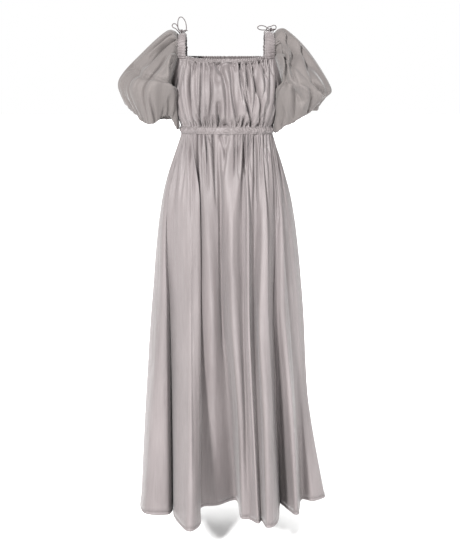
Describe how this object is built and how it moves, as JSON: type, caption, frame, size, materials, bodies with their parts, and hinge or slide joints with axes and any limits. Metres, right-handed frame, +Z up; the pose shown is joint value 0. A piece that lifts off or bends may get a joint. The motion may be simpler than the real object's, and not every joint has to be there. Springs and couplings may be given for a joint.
{
  "type": "maxi dress",
  "caption": "Empire-line maxi dress with gathered bodice, puff sleeves, elastic casings, tied shoulders and a full gathered skirt, hollow as worn.",
  "frame": {"origin": "midway between the two shoulder straps, level with their tops, where the wearer's shoulders hold the dress", "axes": "+Z up, -Y to the front of the dress, +X to the wearer's left"},
  "size_m": [0.5966, 0.4858, 1.4074],
  "materials": {
    "satin": "soft crinkled satin, mauve grey",
    "chiffon": "matte double chiffon, warm grey",
    "casing": "ruched satin over elastic",
    "cord": "fine round braid"
  },
  "bodies": {
    "root": {"bodice_front": "satin", "bodice_back": "satin", "neck_casing_front": "casing", "neck_casing_back": "casing", "strap_casing_right": "casing", "strap_casing_left": "casing", "sleeve_right": "chiffon", "sleeve_left": "chiffon", "cuff_band_right": "chiffon", "cuff_band_left": "chiffon", "waist_casing": "casing", "skirt_front": "satin", "skirt_back": "satin", "tie_right_front": "cord", "tie_right_back": "cord", "tie_left_front": "cord", "tie_left_back": "cord", "knot_right": "cord", "knot_left": "cord"}
  },
  "joints": []
}
